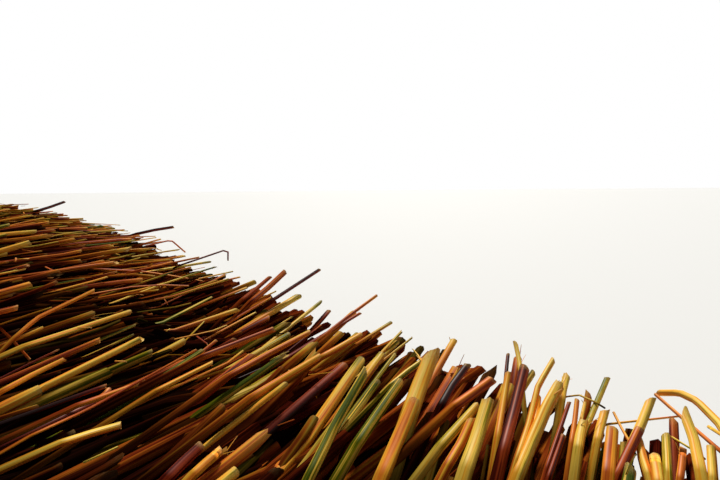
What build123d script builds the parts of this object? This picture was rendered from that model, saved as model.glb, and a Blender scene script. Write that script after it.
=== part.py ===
from build123d import *
import os
from math import asin, cos, degrees, radians, sin, sqrt, tan

# Floating reed raft. Sawn blocks of matted reed root float side by side and are held by stakes
# and two girth ropes. Three crossed layers of cut reed sheaves are heaped on them, and the top
# layer's butts fan up and out over the water.
# Millimetres. X runs along the raft, +Y points out over the front edge, Z = 0 is the waterline.
# The whole raft is the same when it is turned half round.

# Root blocks: two rows side by side along the raft
block_columns = 4
block_length = 1620
block_width = 1560
block_height = 850
block_freeboard = 70
block_corner = 70
block_bevel = 40
block_gap = 0.4

# Reeds and the clearances between the sheaves
reed_pitch = 36
reed_back = 7
lay_gap = 0.3
side_gap = 4

# The heap: how high the crossed layers rise in the middle and how thick each one is
base_end_thickness = 95
crown_rise = 240
cross_thickness = 95
top_thickness = 90

# Sheaves of each layer, and how far they stop short of the blocks' edges or pass them
base_count = 9
base_overhang = 80
cross_count = 6
cross_side_cover = 30
cross_overhang = 60
top_count = 9
top_edge_inset = 230
lay_angle = 15

# Butts that stick out of a sheaf's end, shared out over these kinds: reed radius and reach
base_butts = ((11, 60), (9, 130), (12, 95), (8, 190))
cross_butts = ((11, 90), (12, 170), (9, 240), (8, 320))
top_butts = ((11, 330), (12, 450), (9, 560), (13, 250), (8, 690))

# Spacing of the butts across and up a sheaf's end
base_butt_grid = (74, 52)
cross_butt_grid = (58, 27)
top_butt_grid = (52, 27)
butt_margin = 14
butt_seat = 18

# Rise of the butts above the sheaf, from its lowest row to its highest, and how far each one
# strays from that sideways and up or down, in degrees
base_rise = (-1, 2)
cross_rise = (-6, -1)
top_rise = (1, 17)
butt_turn = 1
butt_lift = 1

# Mooring stakes, one in each corner block and through the middle of an end sheaf
stake_radius = 48
stake_peel = 6
stake_tip_cover = 210
stake_point = 150
stake_head_height = 260
stake_stand_off = 34
stake_edge_inset = 780
stake_bevel = 6
driven_fit = 0.3
parted_fit = 1

# Girth ropes, measured from the top and from the bottom of the root blocks
rope_radius = 9
upper_rope_drop = 230
lower_rope_rise = 220

# Single reeds lying loose on the top layer, the front half of them.
# Columns: top sheaf, place along it, place across it, turn from its lay, reed radius, length
loose_reeds = (
    (2, 500, 40, 34, 9, 480),
    (4, 820, -60, -38, 11, 520),
    (6, 380, 30, -29, 8, 460),
    (8, 860, 50, 36, 10, 500),
)

# Worked out from the sizes above
raft_half_length = block_columns * block_length / 2
block_bottom = block_freeboard - block_height
base_half_length = block_width + base_overhang
cross_half_length = raft_half_length + cross_overhang
cross_width = 2 * (block_width + cross_side_cover) / cross_count
base_width = 2 * cross_half_length / base_count
top_width = 2 * cross_half_length / top_count
top_outer_edge = block_width - top_edge_inset
arch_radius = (cross_half_length**2 + crown_rise**2) / (2 * crown_rise)
arch_centre = block_freeboard + base_end_thickness + crown_rise - arch_radius
arch_half_angle = asin(cross_half_length / arch_radius)
top_floor_radius = arch_radius + cross_thickness + lay_gap
top_roof_radius = top_floor_radius + top_thickness
stake_x = cross_half_length - base_width / 2
stake_y = block_width - stake_edge_inset
stake_foot = block_bottom + stake_tip_cover
stake_spots = [(x, y) for x in (-stake_x, stake_x) for y in (-stake_y, stake_y)]
golden_share = (sqrt(5) - 1) / 2
standing = (Align.CENTER, Align.CENTER, Align.MIN)


def wander(index):
    """Values spread evenly from -0.5 to 0.5, the same on every run."""
    return (index * golden_share) % 1.0 - 0.5


def arch_height(x, radius):
    """Height above the water of an arched surface of the heap."""
    return arch_centre + sqrt(radius**2 - x**2)


def arch_plane(station, radius):
    """Plane that touches the heap's arch at a distance along it, with its own Z pointing up."""
    angle = station / arch_radius
    place = (radius * sin(angle), 0, arch_centre + radius * cos(angle))
    return Plane(origin=place, x_dir=(cos(angle), 0, -sin(angle)), z_dir=(sin(angle), 0, cos(angle)))


def place_in_row(number, count, width):
    """Distance of a sheaf from the middle of its layer."""
    return (number - (count + 1) / 2) * width


def round_backed_section(width, thickness):
    """Outline of a flat bundle standing on its own X axis, with round reed backs on top."""
    half = width / 2
    shoulder = thickness - reed_back
    columns = max(1, round(width / reed_pitch))
    edges = [half - width * column / columns for column in range(columns + 1)]
    with BuildSketch() as section:
        with BuildLine():
            Polyline((-half, shoulder), (-half, 0), (half, 0), (half, shoulder))
            for start, end in zip(edges, edges[1:]):
                SagittaArc((start, shoulder), (end, shoulder), -reed_back)
        make_face()
    return section.sketch


def butts(face, lay, size, grid, kinds, rise, seed):
    """Short lengths of round reed that stick out of a sheaf's end.

    face is the plane of the end, its Z pointing out and its Y up, lay is the way the reeds run,
    and size is the end's width and height. The butts start inside the sheaf, and each row rises
    more than the row below it.
    """
    columns = max(1, int((size[0] - 2 * butt_margin) / grid[0]) + 1)
    rows = max(1, int((size[1] - 2 * butt_margin) / grid[1]) + 1)
    reeds = []
    for row in range(rows):
        level = row / max(1, rows - 1)
        for column in range(columns):
            index = seed + 7 * column + 3 * row
            across = (column - (columns - 1) / 2) * grid[0]
            up = (row - (rows - 1) / 2) * grid[1]
            turn = radians(2 * butt_turn * wander(index))
            lift = radians(rise[0] + (rise[1] - rise[0]) * level + 2 * butt_lift * wander(index + 5))
            way = (lay + face.x_dir * tan(turn) + face.y_dir * tan(lift)).normalized()
            start = face.from_local_coords((across, up, 0)) - way * butt_seat
            radius, reach = kinds[(seed + 2 * column + 3 * row) % len(kinds)]
            with BuildPart(Plane(origin=start, z_dir=way)) as reed:
                Cylinder(radius, reach + butt_seat, align=standing)
            reeds.append(reed.part)
    return reeds


def bind(sheaf, reeds):
    """One sheaf with its butts, its reeds parted where a mooring stake stands in it."""
    with BuildPart() as bound:
        add([sheaf, *reeds], clean=False)
        box = bound.part.bounding_box()
        reach = stake_radius + parted_fit
        for x, y in stake_spots:
            if box.min.X < x + reach and box.max.X > x - reach:
                if box.min.Y < y + reach and box.max.Y > y - reach:
                    with Locations((x, y, block_bottom)):
                        Cylinder(reach, 2 * block_height, align=standing, mode=Mode.SUBTRACT)
    return bound.part


def half_turn(piece):
    """The like piece on the other half of the raft."""
    with BuildPart() as turned:
        add(piece, rotation=(0, 0, 180))
    return turned.part


def stake_outline(clearance, top):
    """Half profile of a stake from its point up to a level, grown by a clearance."""
    radius = stake_radius + clearance
    with BuildSketch(Plane.XZ) as half:
        with BuildLine():
            Polyline(
                (0, stake_foot - clearance),
                (radius, stake_foot + stake_point),
                (radius, top),
                (0, top),
                close=True,
            )
        make_face()
    return half.sketch


def driven_hole():
    """Space that a driven stake takes up in a root block."""
    with BuildPart() as hole:
        add(stake_outline(driven_fit, block_freeboard + stake_bevel))
        revolve(axis=Axis.Z)
    return hole.part


def root_block(column, side):
    """Sawn block of matted root, with the hole of the stake that is driven into it."""
    x = place_in_row(column, block_columns, block_length)
    y = side * block_width / 2
    hole = driven_hole()
    with BuildPart() as block:
        with BuildSketch(Plane.XY.offset(block_bottom)):
            with Locations((x, y)):
                RectangleRounded(block_length - block_gap, block_width - block_gap, block_corner)
        extrude(amount=block_height)
        chamfer(block.faces().sort_by(Axis.Z)[0].edges(), length=block_bevel)
        with Locations(*stake_spots):
            add(hole, mode=Mode.SUBTRACT)
    return block.part


def mooring_stake(x, y):
    """Round pole with a hewn point, peeled to a smaller round head where a line is tied."""
    shoulder = arch_height(x, top_roof_radius) + stake_stand_off
    with BuildPart() as stake:
        add(stake_outline(0, shoulder))
        revolve(axis=Axis.Z)
        with Locations((0, 0, shoulder)):
            Cylinder(stake_radius - stake_peel, stake_head_height, align=standing)
        chamfer(stake.faces().sort_by(Axis.Z)[-1].edges(), length=stake_bevel)
    with BuildPart() as driven:
        with Locations((x, y)):
            add(stake.part)
    return driven.part


def girth_rope(level):
    """Rope drawn tight round all the root blocks."""
    with BuildSketch(Plane.XY.offset(level)) as loop:
        RectangleRounded(
            2 * (raft_half_length + rope_radius),
            2 * (block_width + rope_radius),
            block_corner + rope_radius,
        )
    path = loop.sketch.wires()[0]
    with BuildPart() as rope:
        with BuildSketch(Plane(origin=path @ 0, z_dir=path % 0)):
            Circle(rope_radius)
        sweep(path=path)
    return rope.part


def base_sheaf(number):
    """Lowest layer: reeds across the raft on the blocks, thicker towards the middle."""
    middle = place_in_row(number, base_count, base_width)
    half = (base_width - side_gap) / 2
    floor = block_freeboard + lay_gap
    left, crown, right = (
        (x, arch_height(x, arch_radius) - lay_gap) for x in (middle - half, middle, middle + half)
    )
    with BuildPart() as core:
        with BuildSketch(Plane.XZ.offset(-base_half_length)):
            with BuildLine():
                Polyline(left, (left[0], floor), (right[0], floor), right)
                ThreePointArc(right, crown, left)
            make_face()
        extrude(amount=2 * base_half_length)
    size = (2 * half, min(left[1], right[1]) - floor)
    reeds = []
    for side in (-1, 1):
        place = (middle, side * base_half_length, floor + size[1] / 2)
        face = Plane(origin=place, x_dir=(-side, 0, 0), z_dir=(0, side, 0))
        seed = 11 * number + 5 * side
        reeds += butts(face, face.z_dir, size, base_butt_grid, base_butts, base_rise, seed)
    return bind(core.part, reeds)


def cross_sheaf(number):
    """Middle layer: reeds along the raft, bent over the crown of the layer below."""
    middle = place_in_row(number, cross_count, cross_width)
    size = (cross_width - side_gap, cross_thickness)
    bend = Axis((0, 0, arch_centre), (0, 1, 0))
    crown = Plane(origin=(0, middle, arch_centre + arch_radius), x_dir=(0, 1, 0), z_dir=(1, 0, 0))
    with BuildPart() as core:
        with BuildSketch(crown):
            Rectangle(*size, align=(Align.CENTER, Align.MIN))
        revolve(axis=bend, revolution_arc=2 * degrees(arch_half_angle))
    arched = core.part.rotate(bend, -degrees(arch_half_angle))
    reeds = []
    for end in (-1, 1):
        edge = arch_plane(end * arch_half_angle * arch_radius, arch_radius + cross_thickness / 2)
        place = edge.origin + Vector(0, middle, 0)
        face = Plane(origin=place, x_dir=(0, end, 0), z_dir=edge.x_dir * end)
        seed = 13 * number + end
        reeds += butts(face, face.z_dir, size, cross_butt_grid, cross_butts, cross_rise, seed)
    return bind(arched, reeds)


def top_frame(number):
    """Frame of a front top sheaf: X runs out along its reeds and Z up from the layer below.

    It lies on the crest of the heap, and touches the layer below halfway along the sheaf.
    """
    touching = arch_plane(place_in_row(number, top_count, top_width), top_floor_radius)
    lean = radians(lay_angle)
    origin = touching.origin + touching.x_dir * (top_outer_edge * tan(lean) / 2)
    lay = touching.y_dir * cos(lean) - touching.x_dir * sin(lean)
    return Plane(origin=origin, x_dir=lay, z_dir=touching.z_dir)


def top_sheaf(number):
    """Top layer: reeds laid askew over the front edge, their butts fanned up over the water."""
    frame = top_frame(number)
    width = top_width * cos(radians(lay_angle)) - side_gap
    spare = width * tan(radians(lay_angle))
    length = top_outer_edge / cos(radians(lay_angle))
    start = frame.from_local_coords((-spare, 0, 0))
    with BuildPart() as core:
        with BuildSketch(Plane(origin=start, x_dir=-frame.y_dir, z_dir=-frame.x_dir)):
            add(round_backed_section(width, top_thickness))
        extrude(amount=length + 2 * spare, dir=frame.x_dir)
        split(bisect_by=Plane.XZ.offset(-side_gap / 2), keep=Keep.BOTTOM)
        split(bisect_by=Plane.XZ.offset(-top_outer_edge), keep=Keep.TOP)
    size = (top_width - side_gap, top_thickness - reed_back)
    place = frame.from_local_coords((length, 0, size[1] / 2))
    outward = Vector(0, 1, 0)
    face = Plane(origin=place, x_dir=frame.z_dir.cross(outward), z_dir=outward)
    seed = 17 * number
    return bind(core.part, butts(face, frame.x_dir, size, top_butt_grid, top_butts, top_rise, seed))


def loose_layer():
    """Single reeds lying across the backs of the top layer, on both halves of the raft."""
    with BuildPart() as front:
        for number, along, across, turn, radius, length in loose_reeds:
            frame = top_frame(number)
            middle = frame.from_local_coords((along, across, top_thickness + radius + lay_gap))
            way = frame.x_dir * cos(radians(turn)) + frame.y_dir * sin(radians(turn))
            with Locations(Plane(origin=middle, z_dir=way).location):
                Cylinder(radius, length)
    with BuildPart() as loose:
        add([front.part, half_turn(front.part)])
    return loose.part


def write(shape, label):
    """Labels a finished piece and writes it under the name of its node."""
    shape.label = label
    export_step(shape, f"parts/{label}.step")


def write_layer(count, make, name):
    """Writes a layer's sheaves: those of one half, and their like on the other half."""
    for number in range(1, (count + 1) // 2 + 1):
        sheaf = make(number)
        write(sheaf, f"{name}_{number}")
        if 2 * number != count + 1:
            write(half_turn(sheaf), f"{name}_{count + 1 - number}")


def main():
    os.makedirs("parts", exist_ok=True)
    for column in range(1, block_columns + 1):
        write(root_block(column, -1), f"root_block_{column}_back")
        write(root_block(column, 1), f"root_block_{column}_front")
    for end, x in (("left", -stake_x), ("right", stake_x)):
        write(mooring_stake(x, -stake_y), f"mooring_stake_{end}_back")
        write(mooring_stake(x, stake_y), f"mooring_stake_{end}_front")
    write(girth_rope(block_freeboard - upper_rope_drop), "girth_rope_upper")
    write(girth_rope(block_bottom + lower_rope_rise), "girth_rope_lower")
    write_layer(base_count, base_sheaf, "base_sheaf")
    write_layer(cross_count, cross_sheaf, "cross_sheaf")
    for number in range(1, top_count + 1):
        sheaf = top_sheaf(number)
        write(sheaf, f"top_sheaf_{number}_front")
        write(half_turn(sheaf), f"top_sheaf_{top_count + 1 - number}_back")
    write(loose_layer(), "loose_reeds")


main()
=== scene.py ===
# %% [markdown]
# # A floating reed raft
# Blocks of matted root carry crossed layers of cut reed. The newest reeds lie on top, their
# butts fanned up and outwards, and that ragged edge is what one sees from on board. Every piece
# goes where the imported CAD frame says, in metres, with z = 0 at the level in which the raft
# floats.

# %% Load the imported frame
from math import asin, atan, copysign, cos, hypot, pi, radians, sin, sqrt, tan, tau

import bpy
import numpy as np
from mathutils import Matrix, Vector
from numpy.linalg import norm


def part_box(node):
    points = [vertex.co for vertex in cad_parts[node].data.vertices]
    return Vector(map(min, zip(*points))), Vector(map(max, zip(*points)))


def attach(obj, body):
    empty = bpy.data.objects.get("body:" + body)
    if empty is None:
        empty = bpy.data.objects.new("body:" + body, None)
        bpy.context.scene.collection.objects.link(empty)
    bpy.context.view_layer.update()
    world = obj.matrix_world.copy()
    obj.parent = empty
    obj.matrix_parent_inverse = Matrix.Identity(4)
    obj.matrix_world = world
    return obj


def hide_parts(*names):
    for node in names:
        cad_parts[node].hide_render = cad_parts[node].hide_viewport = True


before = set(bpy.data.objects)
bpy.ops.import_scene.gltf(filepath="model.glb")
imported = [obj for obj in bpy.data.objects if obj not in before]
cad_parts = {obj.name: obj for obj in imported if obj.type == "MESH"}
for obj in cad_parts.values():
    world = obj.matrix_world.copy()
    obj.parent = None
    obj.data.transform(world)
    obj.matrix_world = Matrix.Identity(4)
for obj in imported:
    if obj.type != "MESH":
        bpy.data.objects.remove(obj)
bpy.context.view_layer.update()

scene = bpy.context.scene

# %% [markdown]
# ## Where the picture is taken from
# The eye level and the vanishing point of the raft's edge give the camera's place, its way and
# how wide it sees. Kept as plain vectors, the same numbers can later put a single reed where
# it shows in the picture.

# %% Camera model
PICTURE = (720, 480)
FOCAL = 486.0
EYE = np.array((2.90, 1.30, 0.745))
HEADING = radians(142.0)
DIP = radians(5.87)
ROLL = radians(0.48)

ahead = np.array((
    cos(HEADING) * cos(DIP), sin(HEADING) * cos(DIP), -sin(DIP)
))
level_right = np.array((sin(HEADING), -cos(HEADING), 0.0))
level_top = np.cross(level_right, ahead)
right = level_right * cos(ROLL) - level_top * sin(ROLL)
top = level_top * cos(ROLL) + level_right * sin(ROLL)


def spot(across, down, away):
    """Point that shows at a pixel of the picture, that far ahead of the camera."""
    sideways = (across - PICTURE[0] / 2) / FOCAL
    upwards = (PICTURE[1] / 2 - down) / FOCAL
    return EYE + away * (ahead + sideways * right + upwards * top)


print("bottom middle, 0.6 m ahead:", spot(PICTURE[0] / 2, PICTURE[1], 0.6).round(3))

# %% Camera object
camera = bpy.data.objects.new("camera", bpy.data.cameras.new("camera"))
camera.data.sensor_width = 36.0
camera.data.lens = camera.data.sensor_width * FOCAL / PICTURE[0]
camera.data.clip_start = 0.02
turned = Matrix((right, top, -ahead)).transposed().to_4x4()
camera.matrix_world = Matrix.Translation(Vector(EYE)) @ turned
scene.collection.objects.link(camera)
scene.camera = camera
print("lens", round(camera.data.lens, 2), "mm")

# %% [markdown]
# ## Shader sums written as Python
# A finish is a tree of nodes. With a node's socket in a small class, a sum such as
# `0.4 + 0.2 * streak` adds its Math nodes by itself, and one method makes any other node: first
# its settings, then its values and links. Colours go through Mix nodes, because a Math node
# would turn them grey.

# %% Sockets that add and multiply
class Wire:
    """A node's output that can take part in sums."""

    def __init__(self, finish, socket):
        self.finish = finish
        self.socket = socket

    def sum(self, operation, first, second):
        settings = {"operation": operation}
        return self.finish.node("ShaderNodeMath", settings, {0: first, 1: second})

    def __add__(self, other):
        return self.sum("ADD", self, other)

    def __sub__(self, other):
        return self.sum("SUBTRACT", self, other)

    def __rsub__(self, other):
        return self.sum("SUBTRACT", other, self)

    def __mul__(self, other):
        return self.sum("MULTIPLY", self, other)

    __radd__ = __add__
    __rmul__ = __mul__

    def between(self, low, high):
        """0 below low and 1 above high, with a smooth step from one to the other."""
        settings = {"interpolation_type": "SMOOTHSTEP"}
        inputs = {"Value": self, "From Min": low, "From Max": high}
        return self.finish.node("ShaderNodeMapRange", settings, inputs)


# %% A finish and its nodes
class Finish:
    """Nodes of a new material, or of the world."""

    def __init__(self, name, owner=None):
        self.owner = owner or bpy.data.materials.new(name)
        self.owner.use_nodes = True
        self.tree = self.owner.node_tree
        self.tree.nodes.clear()

    def node(self, kind, settings=None, inputs=None, output=0):
        """Makes a node, with its settings first, and gives its output."""
        made = self.tree.nodes.new(kind)
        for name, value in (settings or {}).items():
            if name == "stops":
                stops = made.color_ramp.elements
                while len(stops) < len(value):
                    stops.new(0.5)
                for stop, (place, colour) in zip(stops, value):
                    stop.position = place
                    stop.color = (*colour, 1.0)
            else:
                setattr(made, name, value)
        for name, value in (inputs or {}).items():
            if isinstance(value, Wire):
                self.tree.links.new(value.socket, made.inputs[name])
            else:
                made.inputs[name].default_value = value
        return Wire(self, made.outputs[output]) if made.outputs else made

    def mark(self, name, output="Fac"):
        """A value that the mesh carries at each point."""
        return self.node("ShaderNodeAttribute", {"attribute_name": name}, output=output)

    def stretched(self, vector, scale):
        """A place on the object, scaled differently along its three axes."""
        settings = {"operation": "MULTIPLY"}
        return self.node("ShaderNodeVectorMath", settings, {0: vector, 1: scale})

    def noise(self, vector, scale=1.0, detail=3.0, rough=0.55):
        """Soft spots between 0 and 1."""
        inputs = {"Vector": vector, "Scale": scale, "Detail": detail, "Roughness": rough}
        return self.node("ShaderNodeTexNoise", {}, inputs)

    def ramp(self, factor, stops):
        """The colour at a value, between stops of place and colour."""
        return self.node("ShaderNodeValToRGB", {"stops": stops}, {"Fac": factor})

    def blend(self, factor, first, second):
        """Mix of two colours."""
        settings = {"data_type": "RGBA", "blend_type": "MIX", "clamp_factor": True}
        return self.node("ShaderNodeMix", settings, {0: factor, 6: first, 7: second}, output=2)

    def surface(self, inputs, bump=None, depth=0.001):
        """The finished material, with its shader and a bump this deep in metres."""
        if bump is not None:
            settings = {"Height": bump, "Distance": depth, "Strength": 1.0}
            inputs = dict(inputs, Normal=self.node("ShaderNodeBump", {}, settings))
        shader = self.node("ShaderNodeBsdfPrincipled", {}, inputs)
        self.node("ShaderNodeOutputMaterial", {}, {"Surface": shader})
        print(self.owner.name, "has", len(self.tree.nodes), "nodes")
        return self.owner


# %% [markdown]
# ## Reed skin and pith
# Cut reed dries from green through gold to red-brown, streaked along the stem and waxy, and its
# cuts show the pale pith. One material serves thousands of reeds, because each point of the
# mesh carries four marks: its reed's tint, how dark it is made (painted shade where it lies
# deep in the heap or runs in under other reeds, and for some reeds a darker age), whether it is
# pith, and its place on the stem, along which the streaks are stretched.

# %% Reed finish
REED_TINTS = (
    (0.00, (0.014, 0.002, 0.001)),
    (0.16, (0.125, 0.010, 0.005)),
    (0.34, (0.450, 0.068, 0.012)),
    (0.52, (0.880, 0.245, 0.022)),
    (0.67, (0.980, 0.480, 0.036)),
    (0.77, (0.980, 0.650, 0.100)),
    (0.84, (0.900, 0.590, 0.080)),
    (0.91, (0.400, 0.310, 0.008)),
    (1.00, (0.075, 0.110, 0.005)),
)
PITH_PALE = (0.90, 0.66, 0.30, 1.0)
PITH_DARK = (0.60, 0.27, 0.05, 1.0)
# HEAP_DARK is the painted shade of reeds deep in the heap.
HEAP_DARK = (0.006, 0.002, 0.001, 1.0)


def reed_finish(name):
    """Fluted, streaked and blotched skin, pale pith at the cuts, dark with age and painted
    shade.
    """
    finish = Finish(name)
    stem = finish.mark("stem", "Vector")
    pith = finish.mark("pith")
    flute = finish.noise(finish.stretched(stem, (170.0, 170.0, 2.5)), detail=1.0)
    streak = finish.noise(finish.stretched(stem, (650.0, 650.0, 9.0)), detail=2.0)
    blotch = finish.noise(finish.stretched(stem, (50.0, 50.0, 14.0)), detail=4.0)
    groove = flute.between(0.36, 0.62)
    change = 0.24 * (groove - 0.6) + 0.42 * (streak - 0.5) + 0.30 * (blotch - 0.5)
    tint = finish.mark("tint") + change
    skin = finish.ramp(tint, REED_TINTS)
    pores = finish.noise(finish.stretched(stem, (900.0, 900.0, 900.0)), detail=1.0)
    cut = finish.blend(pores.between(0.35, 0.62), PITH_DARK, PITH_PALE)
    colour = finish.blend(pith, skin, cut)
    # Painted shade: near black where a reed lies deep or runs in under others; some reeds by
    # age.
    shade = finish.mark("age")
    colour = finish.blend(shade, colour, HEAP_DARK)
    relief = 0.7 * flute + 0.3 * streak + 0.3 * pith * pores
    inputs = {
        "Base Color": colour,
        "Roughness": 0.60 + 0.20 * blotch,
        "Specular IOR Level": 0.0,
        # The sheen fades out with the painted shade, so shaded reeds show none.
        "Coat Weight": 0.22 * (1.0 - shade.between(0.0, 0.50)) * (1.0 - pith),
        "Coat Roughness": 0.42,
    }
    return finish.surface(inputs, bump=relief, depth=0.0030)


reed_top = reed_finish("reed_top")

# %% [markdown]
# ## Meshes with marks
# Blender builds a mesh quickly from whole arrays. A `Heap` gathers the arrays of many reeds,
# with the four marks of each point, and makes one smooth-shaded piece that rides on the raft's
# body and stands for its CAD node.

# %% Gathering arrays into a piece
NO_TRIS = np.empty((0, 3), int)
totals = []


class Heap:
    """Points and faces gathered into one piece, with its own seeded random numbers."""

    def __init__(self, seed=0):
        self.rng = np.random.default_rng(seed)
        self.points, self.marks, self.quads, self.tris = [], [], [], []
        self.count = 0

    def add(self, points, quads, tris, tint, age, pith, stem):
        """Adds points with their faces and marks."""
        marks = np.empty((len(points), 6))
        for column, value in enumerate((tint, age, pith)):
            marks[:, column] = value
        marks[:, 3:] = stem
        self.points.append(points)
        self.marks.append(marks)
        self.quads.append(quads + self.count)
        self.tris.append(tris + self.count)
        self.count += len(points)

    def piece(self, name, material, slot, nodes=(), turned=False):
        """Makes the piece, turned half round where it stands at the back of the raft."""
        points = np.concatenate(self.points)
        if turned:
            points = points * (-1.0, -1.0, 1.0)
        quads = np.concatenate(self.quads)
        tris = np.concatenate(self.tris)
        mesh = bpy.data.meshes.new(name)
        mesh.vertices.add(len(points))
        mesh.vertices.foreach_set("co", points.astype(np.float32).ravel())
        corners = np.concatenate((quads.ravel(), tris.ravel()))
        sizes = np.repeat((4, 3), (len(quads), len(tris)))
        starts = np.cumsum(sizes) - sizes
        mesh.loops.add(len(corners))
        mesh.loops.foreach_set("vertex_index", corners.astype(np.int32))
        mesh.polygons.add(len(sizes))
        mesh.polygons.foreach_set("loop_start", starts.astype(np.int32))
        mesh.polygons.foreach_set("use_smooth", np.ones(len(sizes), bool))
        mesh.update(calc_edges=True)
        marks = np.concatenate(self.marks).astype(np.float32)
        for column, mark in enumerate(("tint", "age", "pith")):
            layer = mesh.attributes.new(mark, "FLOAT", "POINT")
            layer.data.foreach_set("value", marks[:, column].copy())
        layer = mesh.attributes.new("stem", "FLOAT_VECTOR", "POINT")
        layer.data.foreach_set("vector", marks[:, 3:].ravel())
        mesh.materials.append(material)
        made = bpy.data.objects.new(name, mesh)
        scene.collection.objects.link(made)
        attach(made, "root")
        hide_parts(*nodes)
        triangles = 2 * len(quads) + len(tris)
        totals.append(triangles)
        low, high = points.min(0).round(2), points.max(0).round(2)
        print(name, triangles, "triangles, from", low.tolist(), "to", high.tolist())


# %% [markdown]
# ## One reed
# A reed is a tube along a path from its cut butt into the heap. A plain cylinder would look
# like dowel: a dried stem is fluted and a little flattened, its cut slanted or torn, its pith
# shrunk back. Doubled points at the rim keep the cut's edge sharp on a smoothly shaded stem.

# %% Faces between rows of points
def closed(index):
    """A grid of point numbers with its first column again after its last."""
    return np.column_stack((index, index[:, 0]))


def grid_quads(index, flip=False):
    """Quads between the neighbours in a grid of point numbers."""
    corners = index[:-1, :-1], index[:-1, 1:], index[1:, 1:], index[1:, :-1]
    if flip:
        corners = corners[:1] + corners[:0:-1]
    return np.stack(corners, -1).reshape(-1, 4)


def fan(ring, heart, flip=False):
    """Triangles from a closed ring to the point in its middle."""
    ends = (ring[1:], ring[:-1]) if flip else (ring[:-1], ring[1:])
    return np.stack((*ends, np.full(len(ring) - 1, heart)), 1)


# %% Faces of a tube, worked out once for each size
templates = {}


def tube_faces(rings, sides):
    """Faces of a tube with a cut butt at its start and a cap at its end."""
    if (rings, sides) not in templates:
        heart = (rings + 2) * sides
        index = closed(np.arange(heart).reshape(-1, sides))
        quads = grid_quads(index[:rings], flip=True), grid_quads(index[rings:])
        tris = fan(index[-1], heart), fan(index[rings - 1], heart + 1, flip=True)
        templates[(rings, sides)] = np.concatenate(quads), np.concatenate(tris)
    return templates[(rings, sides)]


print("a tube of 5 rings and 9 sides has", len(tube_faces(5, 9)[0]), "quads")


# %% Ways and places along a path
def unit(way):
    """Each way made 1 long."""
    return way / norm(way, axis=-1, keepdims=True)


def run_of(path):
    """How far along its path each point lies."""
    return np.concatenate(((0.0,), np.cumsum(norm(np.diff(path, axis=0), axis=1))))


def points_at(path, run, wanted):
    """Points between those of a path, at these lengths along it."""
    return np.stack([np.interp(wanted, run, column) for column in path.T], 1)


# %% A reed in a heap
INNER = 0.7  # radius of the sunk pith against the stem's
FEWEST = 5  # sides of the plainest reed


def spread(value, sides):
    """A reed's value for each of its points, where it is given for each ring."""
    if not np.ndim(value):
        return value
    cut = np.full(2 * sides + 1, value[0])
    return np.concatenate((np.repeat(value, sides), cut, value[-1:]))


def add_reed(heap, path, thick, sides, tint, age=0.0, slant=0.3, torn=0.05,
             flat=0.9, taper=0.0, sink=0.25, pale=1.0):
    """Adds one reed. Its path starts at the butt, and thick is its radius.

    slant and torn are how far the cut leans and how ragged it is, sink how deep its pith lies,
    all in radii. pale is how clean the pith is, and taper how much thinner the butt is.
    """
    rng = heap.rng
    path = np.asarray(path, float)
    way = unit(np.gradient(path, axis=0))
    aside = unit(np.cross(way, (0.0, 0.0, 1.0)))
    over = np.cross(aside, way)
    start, lean, wave = rng.uniform(0.0, tau, 3)
    turn = np.arange(sides) * tau / sides
    swell = 1.0 + 0.05 * np.cos(3 * turn + wave) + 0.035 * np.cos(5 * turn + 2 * wave)
    along = run_of(path)
    radii = thick * (1.0 - taper * np.exp(-along / 0.06))
    around = turn + start
    flats = np.stack((np.cos(around), flat * np.sin(around)), 1) * swell[:, None]
    spokes = (aside[:, None] * flats[None, :, :1] + over[:, None] * flats[None, :, 1:])
    skin = path[:, None] + spokes * radii[:, None, None]
    even = slant * (1.0 + np.cos(turn - lean))
    skin[0] -= way[0] * (thick * (even + torn * rng.random(sides)))[:, None]
    depth = slant * (1.0 + INNER * np.cos(turn - lean)) - sink
    inner = path[0] + INNER * radii[0] * spokes[0] - way[0] * (thick * depth)[:, None]
    heart = path[0] - way[0] * thick * (slant - 1.5 * sink)
    points = np.concatenate((skin.reshape(-1, 3), skin[0], inner, heart[None], path[-1:]))
    quads, tris = tube_faces(len(path), sides)
    rim, pit = len(path) * sides, (len(path) + 1) * sides
    pith = np.zeros(len(points))
    pith[:sides] = 0.60 * pale * (along[1] < 0.02)
    pith[rim:pit] = 0.8 * pale
    pith[pit:-1] = pale
    stem = np.zeros((len(points), 3))
    stem[:pit, :2] = np.tile(flats * thick, (len(path) + 1, 1))
    stem[pit:-2, :2] = INNER * flats * thick
    stem[:rim, 2] = np.repeat(along, sides)
    stem += rng.uniform(0.0, 20.0, 3)
    heap.add(points, quads, tris, spread(tint, sides), spread(age, sides), pith, stem)


# %% [markdown]
# ## The shape of the heap
# The photograph shows how high the butts reach: the reeds swell up on the left and drop to the
# rim in front. A small table of heights above z = 0 holds that shape, with a few slow waves for
# the humps of a heap that is trodden and topped up.

# %% Height of the butts
HEAP_X = (-3.5, -2.2, -1.0, 0.0, 1.0, 1.8, 2.5, 3.5)
HEAP_Y = (-0.6, 0.0, 0.9, 1.38, 1.65, 2.0)
HEAP_Z = np.array((
    (0.40, 0.54, 0.61, 0.63, 0.61, 0.56, 0.49, 0.40),
    (0.41, 0.55, 0.62, 0.64, 0.62, 0.57, 0.50, 0.40),
    (0.42, 0.56, 0.65, 0.67, 0.63, 0.55, 0.47, 0.39),
    (0.43, 0.56, 0.66, 0.69, 0.62, 0.50, 0.43, 0.40),
    (0.41, 0.51, 0.59, 0.61, 0.55, 0.46, 0.42, 0.43),
    (0.35, 0.42, 0.48, 0.50, 0.46, 0.43, 0.46, 0.46),
))
FRONT = HEAP_Y[-1]  # the table's heights end at this y
ARCH_RADIUS = 22.8075
ARCH_CENTRE = -22.4025
LAYER = 0.095
BED_DEPTH = 0.065
RIM = 1.6  # y from which the bed falls


def arch(x):
    """Height of the underside of the bent layers."""
    return ARCH_CENTRE + np.sqrt(ARCH_RADIUS ** 2 - np.square(x))


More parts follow.
